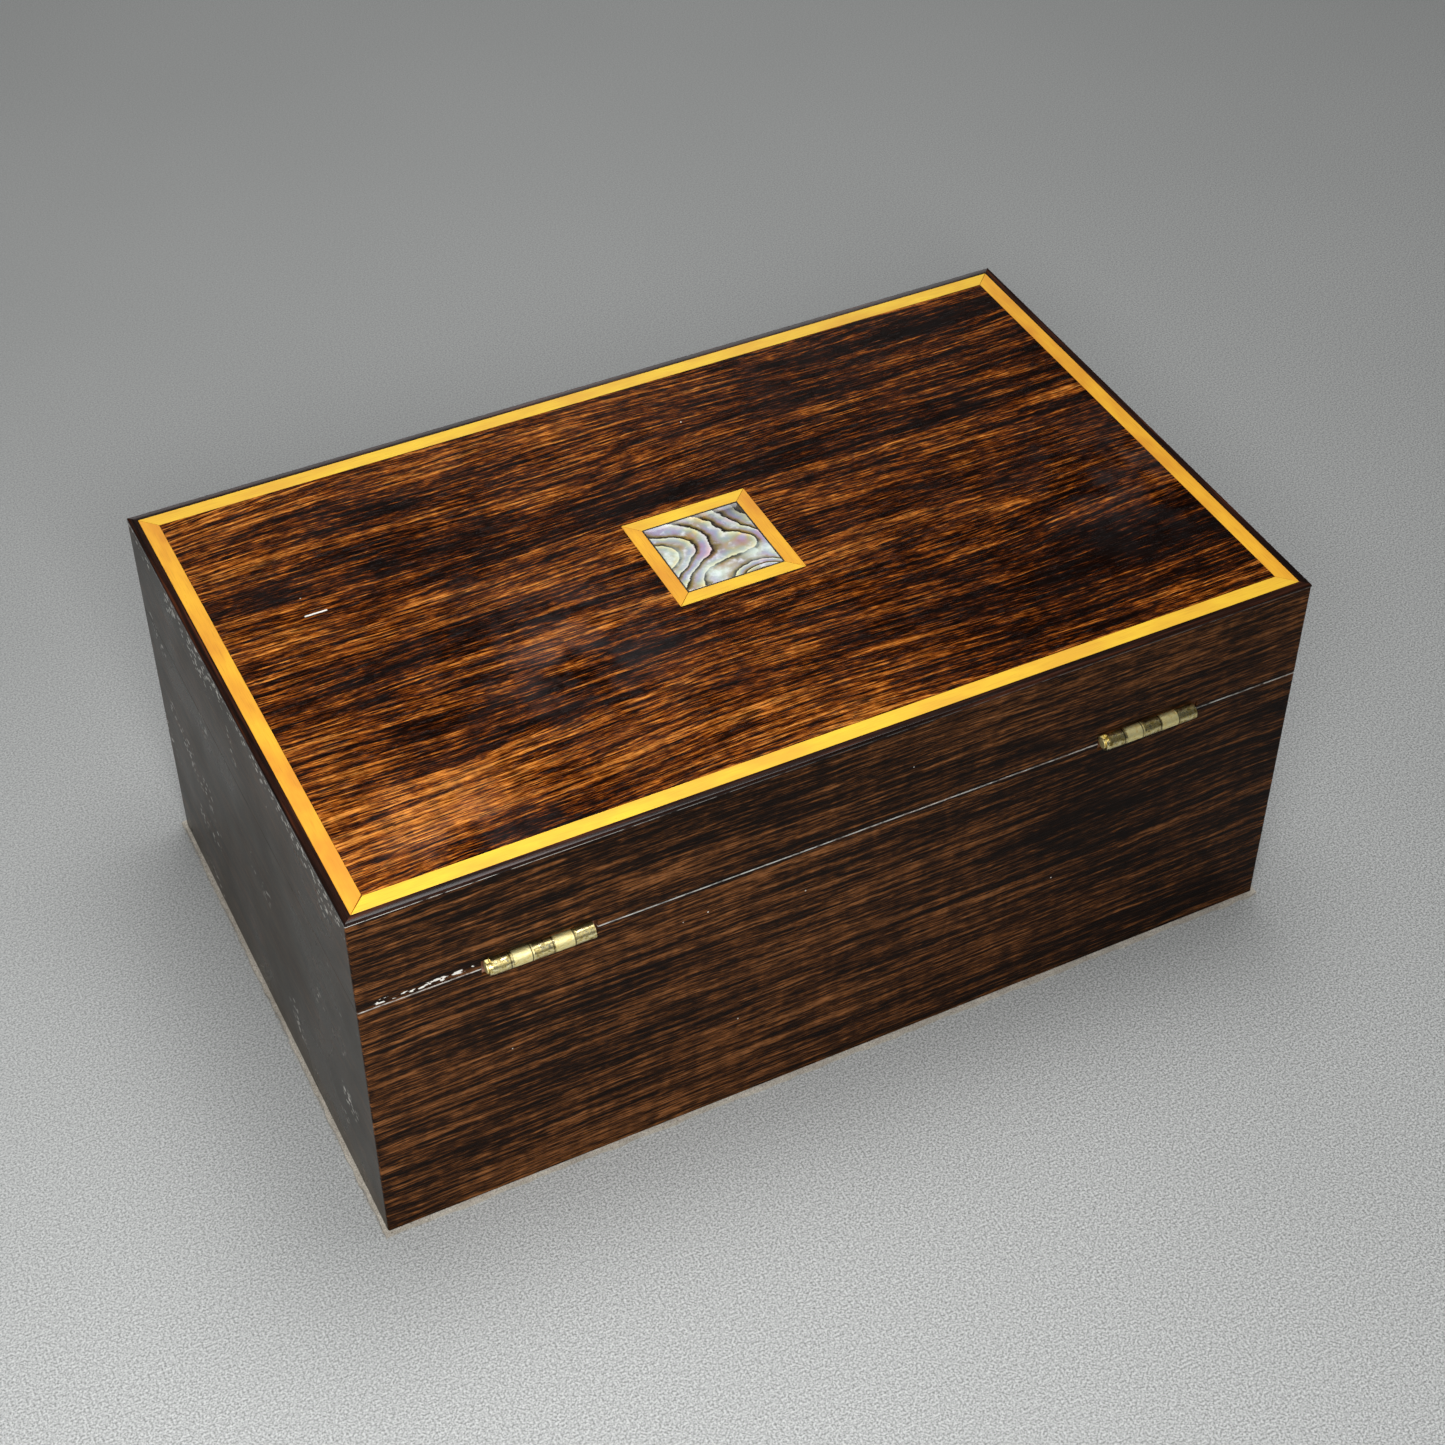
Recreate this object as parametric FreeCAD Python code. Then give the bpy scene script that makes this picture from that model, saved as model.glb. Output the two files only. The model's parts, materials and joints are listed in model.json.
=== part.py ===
import FreeCAD, Part
import math
import os

# Wooden puzzle box, in millimetres.
# X runs along the length, Y along the depth and Z up. The origin is the middle of the underside.
# The front faces -Y, the hinges are on the back (+Y) and the secret sliding end is the left one (-X).

# Driving dimensions
length = 305.0
depth = 187.5
height = 134.0
baize_thickness = 1.2
seam_z = 98.9              # middle of the gap between base and lid
seam_gap = 0.2
core = 9.2                 # wall core, without its veneer
side_veneer = 0.8
top_veneer = 1.0
panel_thickness = 6.0      # bottom panel and lid top board
rebate = 5.0               # how far those panels reach into the walls
lining = 1.0               # felt inside the base and the lid
edge_round = 0.6           # outer vertical edges and the rim of the top
baize_inset = 0.5

# Inlay of the top
crossband = 2.7            # dark band along the outer edge
stringing = 5.2            # light band inside it
medallion_side = 41.8
medallion_strip = 4.8
ebony_line = 0.4           # dark line round the shell tile
medallion_centre = (-1.5, -1.7)

# Brass stop hinges
hinge_centres = {"left": -99.0, "right": 99.0}
hinge_length = 31.8
leaf_thickness = 1.2
leaf_front = 84.75
axis_behind_back = 0.4
barrel_radius = 2.5
barrel_gap = 0.25          # leaf plate to the other leaf's knuckles
pin_radius = 1.0
lid_bore_clearance = 0.06
pin_head = (1.6, 0.5)      # radius, thickness
knuckles = 5
knuckle_gap = 0.1
stop_length = 1.0          # stop collar at the right end of each barrel
tooth_angles = (150.0, 178.0)
cam_angles = (182.0, 410.0)
cam_radius = 2.4
tooth_radius = 2.7
stop_clearance = 0.05
groove_radius = 2.85
groove_overrun = 1.5
screw_head_radius = 2.1
screw_head_depth = 1.1
screw_shank_radius = 1.0
screw_length = 9.0
screw_offsets = (-10.5, 0.0, 10.5)
screw_slot = (0.5, 0.35)   # width, depth

# Sliding end of the base, on the left
rail_thickness = 3.2       # end rails, veneer line to the core
bottom_rail_top = 8.0
top_rail_drop = 6.2        # depth of the top rail below the rim
panel_board = 2.3
running_gap = 0.1
tongue_thickness = 1.0
tongue_reach = 2.0
groove_spare = 0.3
end_panel_travel = 18.0
peg_radius = 1.5
peg_place = (40.0, 50.0)   # y, z with the end shut
peg_reach = 2.5
peg_embed = 1.0
peg_gap = 0.3

# Lock bar and hooks
bar_thickness = 3.0
bar_height = 10.0
bar_below_rim = 5.2
bar_ends = (-76.0, 79.0)
bar_travel = 5.5
bar_end_gap = 0.5
notch = (71.0, 77.0)
notch_depth = 1.2
hook_fronts = {"front": -66.0, "rear": -10.0}
hook_stem = 4.0
hook_toe = 5.0             # how far the toe reaches past the stem
hook_toe_height = 3.0
hook_thickness = 1.8
hook_inset = 0.7           # from the bar's outer face
hook_tang_top = 110.0
slot_front_room = 1.6
slot_rear_room = 1.0
slot_side_gap = 0.3
toe_above_bar = 2.5
pocket_gap = 0.6

# Derived places
half_x = length / 2
half_y = depth / 2
core_x = half_x - side_veneer
core_y = half_y - side_veneer
inner_right = core_x - core
inner_y = core_y - core
left_core_outer = -(half_x - rail_thickness)
inner_left = left_core_outer + core + side_veneer
rim_z = seam_z - seam_gap / 2
lid_z = seam_z + seam_gap / 2
top_z = height - top_veneer
axis_y = half_y + axis_behind_back
axis_z = seam_z
leaf_rear = axis_y - barrel_radius - barrel_gap
screw_y = (leaf_front + leaf_rear) / 2
top_rail_bottom = rim_z - top_rail_drop
bar_top = rim_z - bar_below_rim
bar_bottom = bar_top - bar_height
bar_outer = left_core_outer + running_gap
bar_inner = bar_outer + bar_thickness
hook_x = (bar_outer + hook_inset, bar_outer + hook_inset + hook_thickness)


def box(x0, x1, y0, y1, z0, z1):
    return Part.makeBox(x1 - x0, y1 - y0, z1 - z0, FreeCAD.Vector(x0, y0, z0))


def prism(outline, z0, z1):
    """Solid that stands on an outline of (x, y) points."""
    corners = [FreeCAD.Vector(x, y, z0) for x, y in outline + outline[:1]]
    return Part.Face(Part.makePolygon(corners)).extrude(FreeCAD.Vector(0, 0, z1 - z0))


def plate(outline, x0, x1):
    """Solid with an outline of (y, z) points, x1 - x0 thick."""
    corners = [FreeCAD.Vector(x0, y, z) for y, z in outline + outline[:1]]
    return Part.Face(Part.makePolygon(corners)).extrude(FreeCAD.Vector(x1 - x0, 0, 0))


def rod(radius, x0, x1, y=axis_y, z=axis_z):
    return Part.makeCylinder(radius, x1 - x0, FreeCAD.Vector(x0, y, z), FreeCAD.Vector(1, 0, 0))


def outer_form():
    """The whole outside of the box, with its upright and top edges rounded."""
    block = box(-half_x, half_x, -half_y, half_y, baize_thickness, height)
    edges = [edge for edge in block.Edges if edge.BoundBox.ZMax > baize_thickness + 1.0]
    return block.makeFillet(edge_round, edges)


def mitred_strips(x, y, width, z0, z1, centre=(0.0, 0.0)):
    """Four strips that meet at 45 degrees round a rectangle of half sizes x and y."""
    cx, cy = centre
    outer = [(cx - x, cy - y), (cx + x, cy - y), (cx + x, cy + y), (cx - x, cy + y)]
    inner = [(cx - x + width, cy - y + width), (cx + x - width, cy - y + width),
             (cx + x - width, cy + y - width), (cx - x + width, cy + y - width)]
    strips = {}
    for corner, side in enumerate(("front", "right", "back", "left")):
        following = (corner + 1) % 4
        outline = [outer[corner], outer[following], inner[following], inner[corner]]
        strips[side] = prism(outline, z0, z1)
    return strips


# Hinges

def arc_point(radius, degrees, x):
    """Point about the hinge axis: 0 degrees is straight back, 90 is up and 180 is to the front."""
    angle = math.radians(degrees)
    return FreeCAD.Vector(x, axis_y + radius * math.cos(angle), axis_z + radius * math.sin(angle))


def ring_sector(inner, outer, start, stop, x0, x1):
    middle = (start + stop) / 2
    outside = Part.Arc(*[arc_point(outer, a, x0) for a in (start, middle, stop)]).toShape()
    inside = Part.Arc(*[arc_point(inner, a, x0) for a in (stop, middle, start)]).toShape()
    end = Part.makeLine(arc_point(outer, stop, x0), arc_point(inner, stop, x0))
    beginning = Part.makeLine(arc_point(inner, start, x0), arc_point(outer, start, x0))
    face = Part.Face(Part.Wire([outside, end, inside, beginning]))
    return face.extrude(FreeCAD.Vector(x1 - x0, 0, 0))


def knuckle_spans(centre):
    """Ends of the five knuckles, counted from the right end of the barrel."""
    pitch = (hinge_length - stop_length) / knuckles
    right = centre + hinge_length / 2 - stop_length - knuckle_gap
    return [(right - i * pitch - (pitch - knuckle_gap), right - i * pitch) for i in range(knuckles)]


def screw_body(x, z, way):
    """Countersunk wood screw with its head flush at z, driven up (way 1) or down (way -1)."""
    axis = FreeCAD.Vector(0, 0, way)
    point = 1.6
    straight = screw_length - screw_head_depth - point
    head = Part.makeCone(screw_head_radius, screw_shank_radius, screw_head_depth,
                         FreeCAD.Vector(x, screw_y, z), axis)
    shank = Part.makeCylinder(screw_shank_radius, straight,
                              FreeCAD.Vector(x, screw_y, z + way * screw_head_depth), axis)
    tip = Part.makeCone(screw_shank_radius, 0.3, point,
                        FreeCAD.Vector(x, screw_y, z + way * (screw_length - point)), axis)
    return head.fuse([shank, tip]).removeSplitter()


def screw_bodies(centre, z, way):
    return [screw_body(centre + offset, z, way) for offset in screw_offsets]


def slotted_screws(z, way):
    """All screws of one body's leaves, as separate solids with a driver slot each."""
    width, slot_depth = screw_slot
    screws = []
    for centre in hinge_centres.values():
        for offset, body in zip(screw_offsets, screw_bodies(centre, z, way)):
            x = centre + offset
            z_in = z + way * slot_depth
            slot = box(x - width / 2, x + width / 2, screw_y - 3, screw_y + 3,
                       min(z - way, z_in), max(z - way, z_in))
            screws.append(body.cut(slot))
    return Part.makeCompound(screws)


def hinge_gain(centre, z0, z1):
    """Recess in the wood: a housing for the leaf and a groove that clears the barrel."""
    half = hinge_length / 2
    housing = box(centre - half, centre + half, leaf_front, half_y + 1, z0, z1)
    groove = rod(groove_radius, centre - half - groove_overrun, centre + half + groove_overrun)
    return housing.fuse(groove)


def leaf(centre, own_knuckles, z0, z1, bore, stop_piece, screw_z, way):
    half = hinge_length / 2
    shape = box(centre - half, centre + half, leaf_front, leaf_rear, z0, z1)
    neck_end = axis_y - (bore + barrel_radius) / 2
    for number, (x0, x1) in enumerate(knuckle_spans(centre)):
        if number in own_knuckles:
            neck = box(x0, x1, leaf_rear, neck_end, z0, z1)
            shape = shape.fuse([neck, rod(barrel_radius, x0, x1)])
            shape = shape.cut(rod(bore, x0 - knuckle_gap / 2, x1 + knuckle_gap / 2))
    shape = shape.fuse(stop_piece)
    for body in screw_bodies(centre, screw_z, way):
        shape = shape.cut(body)
    return shape.removeSplitter()


def base_leaf(centre):
    """Base leaf with knuckles 1, 3 and 5 and the cam that stops the lid."""
    right = centre + hinge_length / 2
    z0, z1 = rim_z - leaf_thickness, rim_z
    x0 = right - stop_length - knuckle_gap
    cam = ring_sector(pin_radius, cam_radius, *cam_angles, x0, right)
    bridge = box(x0, right, leaf_rear, axis_y - cam_radius + 0.4, z0, z1)
    return leaf(centre, (0, 2, 4), z0, z1, pin_radius, cam.fuse(bridge), rim_z, -1)


def lid_leaf(centre):
    """Lid leaf with knuckles 2 and 4 and the tooth that meets the cam when the lid stands open."""
    right = centre + hinge_length / 2
    z0, z1 = lid_z, lid_z + leaf_thickness
    tooth = ring_sector(pin_radius + stop_clearance, tooth_radius, *tooth_angles,
                        right - stop_length, right)
    bridge = box(right - stop_length, right, leaf_rear, axis_y - cam_radius - stop_clearance, z0, z1)
    bore = pin_radius + lid_bore_clearance
    return leaf(centre, (1, 3), z0, z1, bore, tooth.fuse(bridge), lid_z, 1)


def hinge_pin(centre):
    radius, thickness = pin_head
    right = centre + hinge_length / 2
    shank = rod(pin_radius, centre - hinge_length / 2, right)
    return shank.fuse(rod(radius, right, right + thickness)).removeSplitter()


def cut_for_hinges(wood, z0, z1, screw_z, way):
    for centre in hinge_centres.values():
        wood = wood.cut(hinge_gain(centre, z0, z1))
        for body in screw_bodies(centre, screw_z, way):
            wood = wood.cut(body)
    return wood


# Base

def bottom_panel():
    return box(inner_left - rebate, inner_right + rebate, -inner_y - rebate, inner_y + rebate,
               baize_thickness, baize_thickness + panel_thickness)


def lock_cuts():
    """Everything taken out of the base's left wall: bar channel, hook slots and peg slot."""
    front, rear = bar_ends
    channel = box(left_core_outer, bar_inner + running_gap,
                  front - bar_travel - bar_end_gap, rear + bar_end_gap,
                  bar_bottom - running_gap, bar_top + running_gap)
    cuts = [channel]
    for start in hook_fronts.values():
        cuts.append(box(hook_x[0] - slot_side_gap, hook_x[1] + slot_side_gap,
                        start - slot_front_room, start + hook_stem + hook_toe + slot_rear_room,
                        bar_top, rim_z))
    y, z = peg_place
    room = peg_radius + peg_gap
    cuts.append(box(left_core_outer, left_core_outer + peg_reach + peg_gap,
                    y - end_panel_travel - room, y + room, z - room, z + room))
    return cuts


def base_walls():
    z0, z1 = baize_thickness, rim_z
    front = prism([(left_core_outer, -core_y), (core_x, -core_y), (inner_right, -inner_y),
                   (left_core_outer, -inner_y)], z0, z1)
    back = prism([(-core_x, core_y), (-core_x, inner_y), (inner_right, inner_y),
                  (core_x, core_y)], z0, z1)
    right = prism([(core_x, -core_y), (core_x, core_y), (inner_right, inner_y),
                   (inner_right, -inner_y)], z0, z1)
    left = box(left_core_outer, inner_left, -inner_y, inner_y, z0, z1)
    back = cut_for_hinges(back, rim_z - leaf_thickness, rim_z, rim_z, -1)
    walls = {"front": front, "back": back, "right": right, "left": left.cut(lock_cuts())}
    panel = bottom_panel()
    return {f"base_{side}_wall": wall.cut(panel) for side, wall in walls.items()}


def base_veneers(form):
    z0, z1 = baize_thickness, rim_z
    back = box(-half_x, half_x, core_y, half_y, z0, z1)
    for centre in hinge_centres.values():
        back = back.cut(hinge_gain(centre, rim_z - leaf_thickness, rim_z))
    return {
        "base_front_veneer": form.common(box(left_core_outer, half_x, -half_y, -core_y, z0, z1)),
        "base_back_veneer": form.common(back),
        "base_right_veneer": box(core_x, half_x, -core_y, core_y, z0, z1),
        "base_left_corner_veneer": box(-half_x, -core_x, inner_y, core_y, z0, z1),
    }


def end_rails(form):
    """Solid rails above and below the sliding end, each with a groove for its tongue."""
    groove_x = (-core_x + (panel_board - tongue_thickness) / 2 - running_gap,
                -core_x + (panel_board + tongue_thickness) / 2 + running_gap)
    reach = tongue_reach - running_gap + groove_spare
    top = box(-half_x, left_core_outer, -half_y, inner_y, top_rail_bottom, rim_z)
    bottom = box(-half_x, left_core_outer, -half_y, inner_y, baize_thickness, bottom_rail_top)
    top_groove = box(*groove_x, -half_y, inner_y, top_rail_bottom, top_rail_bottom + reach)
    bottom_groove = box(*groove_x, -half_y, inner_y, bottom_rail_top - reach, bottom_rail_top)
    return {
        "end_panel_top_rail": form.common(top).cut(top_groove),
        "end_panel_bottom_rail": form.common(bottom).cut(bottom_groove),
    }


def base_parts(form):
    parts = {**base_walls(), **base_veneers(form), **end_rails(form)}
    parts["base_bottom_panel"] = bottom_panel()
    floor_z = baize_thickness + panel_thickness
    parts["floor_lining"] = box(inner_left, inner_right, -inner_y, inner_y, floor_z, floor_z + lining)
    parts["base_baize"] = box(-half_x + baize_inset, half_x - baize_inset,
                              -half_y + baize_inset, half_y - baize_inset, 0, baize_thickness)
    for side, centre in hinge_centres.items():
        parts[f"hinge_{side}_base_leaf"] = base_leaf(centre)
        parts[f"hinge_{side}_pin"] = hinge_pin(centre)
    parts["base_hinge_screws"] = slotted_screws(rim_z, -1)
    return parts


# Sliding end and lock

def end_panel_parts(form):
    z0, z1 = bottom_rail_top + running_gap, top_rail_bottom - running_gap
    rear = inner_y - running_gap
    board_x = (-core_x, -core_x + panel_board)
    tongue_x = (board_x[0] + (panel_board - tongue_thickness) / 2,
                board_x[0] + (panel_board + tongue_thickness) / 2)
    board = box(*board_x, -half_y, rear, z0, z1)
    tongues = box(*tongue_x, -half_y, rear, z0 - tongue_reach, z1 + tongue_reach)
    y, z = peg_place
    peg = rod(peg_radius, board_x[1] - peg_embed, board_x[1] + peg_reach, y, z)
    return {
        "end_panel_board": board.fuse(tongues).cut(peg).removeSplitter(),
        "end_panel_veneer": form.common(box(-half_x, -core_x, -half_y, rear, z0, z1)),
        "end_panel_stop_peg": peg,
    }


def lock_bar():
    """Brass bar with a thumb notch and two hook pockets, shown unlocked."""
    shape = box(bar_outer, bar_inner, *bar_ends, bar_bottom, bar_top)
    shape = shape.cut(box(bar_outer, bar_outer + notch_depth, *notch, bar_bottom, bar_top))
    toe_bottom = bar_bottom + toe_above_bar
    toe_top = toe_bottom + hook_toe_height
    for start in hook_fronts.values():
        mouth_front = start - slot_front_room
        mouth_rear = start + hook_stem + hook_toe + slot_rear_room
        mouth = box(bar_outer, bar_inner, mouth_front, mouth_rear, toe_bottom - pocket_gap, bar_top)
        pocket = box(bar_outer, bar_inner, mouth_front, mouth_rear + bar_travel,
                     toe_bottom - pocket_gap, toe_top + pocket_gap)
        shape = shape.cut([mouth, pocket])
    return shape.removeSplitter()


def lid_hook(start):
    """Flat brass hook: a stem let into the lid and a toe that the lock bar traps."""
    toe_bottom = bar_bottom + toe_above_bar
    toe_top = toe_bottom + hook_toe_height
    outline = [(start, toe_bottom), (start + hook_stem + hook_toe, toe_bottom),
               (start + hook_stem + hook_toe, toe_top), (start + hook_stem, toe_top),
               (start + hook_stem, hook_tang_top), (start, hook_tang_top)]
    return plate(outline, *hook_x)


# Lid

def lid_rails(hooks):
    front = prism([(-core_x, -core_y), (core_x, -core_y), (inner_right, -inner_y),
                   (-core_x, -inner_y)], lid_z, top_z)
    back = prism([(-core_x, core_y), (-core_x, inner_y), (inner_right, inner_y),
                  (core_x, core_y)], lid_z, top_z)
    right = prism([(core_x, -core_y), (core_x, core_y), (inner_right, inner_y),
                   (inner_right, -inner_y)], lid_z, top_z)
    left = box(-core_x, inner_left, -inner_y, inner_y, lid_z, top_z).cut(hooks)
    back = cut_for_hinges(back, lid_z, lid_z + leaf_thickness, lid_z, 1)
    board = lid_board()
    rails = {"front": front, "back": back, "right": right, "left": left}
    return {f"lid_{side}_rail": rail.cut(board) for side, rail in rails.items()}


def lid_board():
    return box(inner_left - rebate, inner_right + rebate, -inner_y - rebate, inner_y + rebate,
               top_z - panel_thickness, top_z)


def lid_veneers(form):
    back = box(-half_x, half_x, core_y, half_y, lid_z, top_z)
    for centre in hinge_centres.values():
        back = back.cut(hinge_gain(centre, lid_z, lid_z + leaf_thickness))
    return {
        "lid_front_veneer": form.common(box(-half_x, half_x, -half_y, -core_y, lid_z, top_z)),
        "lid_back_veneer": form.common(back),
        "lid_right_veneer": box(core_x, half_x, -core_y, core_y, lid_z, top_z),
        "lid_left_veneer": box(-half_x, -core_x, -core_y, core_y, lid_z, top_z),
    }


def top_inlay(form):
    """Veneered field, light stringing and dark crossband of the top, and the medallion in its middle."""
    parts = {}
    for side, strip in mitred_strips(half_x, half_y, crossband, top_z, height).items():
        parts[f"crossband_{side}"] = form.common(strip)
    string_x, string_y = half_x - crossband, half_y - crossband
    for side, strip in mitred_strips(string_x, string_y, stringing, top_z, height).items():
        parts[f"stringing_{side}"] = strip
    cx, cy = medallion_centre
    half = medallion_side / 2
    field = box(-string_x + stringing, string_x - stringing,
                -string_y + stringing, string_y - stringing, top_z, height)
    parts["top_field_veneer"] = field.cut(box(cx - half, cx + half, cy - half, cy + half, top_z, height))
    strips = mitred_strips(half, half, medallion_strip, top_z, height, medallion_centre)
    for side, strip in strips.items():
        parts[f"medallion_strip_{side}"] = strip
    window = half - medallion_strip
    tile = window - ebony_line
    opening = box(cx - window, cx + window, cy - window, cy + window, top_z, height)
    parts["abalone_tile"] = box(cx - tile, cx + tile, cy - tile, cy + tile, top_z, height)
    parts["medallion_ebony_line"] = opening.cut(parts["abalone_tile"])
    return parts


def lid_parts(form):
    hooks = {f"lid_hook_{place}": lid_hook(start) for place, start in hook_fronts.items()}
    parts = {**lid_rails(list(hooks.values())), **lid_veneers(form), **top_inlay(form), **hooks}
    parts["lid_top_board"] = lid_board()
    ceiling = top_z - panel_thickness
    parts["lid_lining"] = box(inner_left, inner_right, -inner_y, inner_y, ceiling - lining, ceiling)
    for side, centre in hinge_centres.items():
        parts[f"hinge_{side}_lid_leaf"] = lid_leaf(centre)
    parts["lid_hinge_screws"] = slotted_screws(lid_z, 1)
    return parts


def all_parts():
    form = outer_form()
    return {**base_parts(form), **end_panel_parts(form), "lock_bar": lock_bar(), **lid_parts(form)}


def save(parts):
    os.makedirs("parts", exist_ok=True)
    for name, shape in parts.items():
        if not shape.isValid():
            raise RuntimeError(f"{name} isn't a valid shape")
        solid = shape.Solids[0] if len(shape.Solids) == 1 else shape
        solid.exportStep(f"parts/{name}.step")
        print(f"{name}: {len(shape.Solids)} solid(s), {shape.Volume / 1000:.2f} cm3")


save(all_parts())
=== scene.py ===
import json
import math
import random

import bmesh
import bpy
from mathutils import Euler, Matrix, Vector


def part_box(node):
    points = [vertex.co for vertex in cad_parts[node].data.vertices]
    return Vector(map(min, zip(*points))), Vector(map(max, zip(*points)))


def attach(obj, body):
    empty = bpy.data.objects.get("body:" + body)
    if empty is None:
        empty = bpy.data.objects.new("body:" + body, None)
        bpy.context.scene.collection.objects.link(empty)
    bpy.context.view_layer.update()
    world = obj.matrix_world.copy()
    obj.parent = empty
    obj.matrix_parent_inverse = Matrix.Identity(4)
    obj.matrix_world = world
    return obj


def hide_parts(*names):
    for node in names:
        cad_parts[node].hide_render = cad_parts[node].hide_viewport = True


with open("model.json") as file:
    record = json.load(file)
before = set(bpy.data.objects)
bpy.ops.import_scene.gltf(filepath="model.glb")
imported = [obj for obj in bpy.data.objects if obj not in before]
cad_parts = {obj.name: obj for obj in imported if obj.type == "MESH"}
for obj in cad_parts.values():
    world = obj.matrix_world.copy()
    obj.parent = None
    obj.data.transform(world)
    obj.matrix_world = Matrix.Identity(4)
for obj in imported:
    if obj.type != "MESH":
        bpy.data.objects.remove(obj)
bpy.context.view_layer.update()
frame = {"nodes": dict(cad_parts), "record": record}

MM = 0.001
NODES = frame["nodes"]
RECORD = frame["record"]
BODY_OF = {node: body for body, members in RECORD["behaviour"]["bodies"].items() for node in members}
SIDES = ("front", "right", "back", "left")

# Places that several pieces and finishes share, in metres, read from the frame
BASE_LOW, BASE_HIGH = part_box("base_back_veneer")
TOP_LOW, TOP_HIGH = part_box("crossband_back")
TILE_LOW, TILE_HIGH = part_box("abalone_tile")
HINGE_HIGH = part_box("hinge_right_lid_leaf")[1]
RIM_Z = BASE_HIGH.z
BACK_Y = BASE_HIGH.y
RIGHT_X = BASE_HIGH.x
SAME_PLACE = 0.001 * MM    # closer than this counts as the same place

# Making the pieces, in metres
GLUE_LINE = 0.07 * MM      # half the gap between neighbouring inlay strips
OPEN_MITRE = 0.45 * MM     # how far the mitre at the back right corner has opened
ARRIS = 0.6 * MM           # rounding of the outer top edge of the box
VENEER_EASE = 0.12 * MM    # easing of a veneer's edges
SLIDING_EASE = 0.1 * MM    # easing of edges that slide past each other
CARCASS_EASE = 0.15 * MM
LEAF_EASE = 0.24 * MM      # easing of a hinge's leaves and knuckles
PIN_EASE = 0.12 * MM
SMALL_BRASS_EASE = 0.08 * MM
NAP_UNEVEN = 0.06 * MM     # how uneven the top of a felt is
BAIZE_OVERHANG = 1.9 * MM  # how far the glued baize has spread past its cut size
BAIZE_RAGGED = 0.45 * MM   # how far its cut edge strays
TUFT_PITCH = 8 * MM        # length of the edge of the baize that is furnished with fibres in one go
FIBRES_A_TUFT = 34

# The hinges, in millimetres, as the finishes measure
HINGE_CENTRE = 99.0        # from the middle of the back to the middle of each hinge
HINGE_LENGTH = 31.8
KNUCKLE = HINGE_LENGTH / 5


# ---------------------------------------------------------------- finishes

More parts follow.
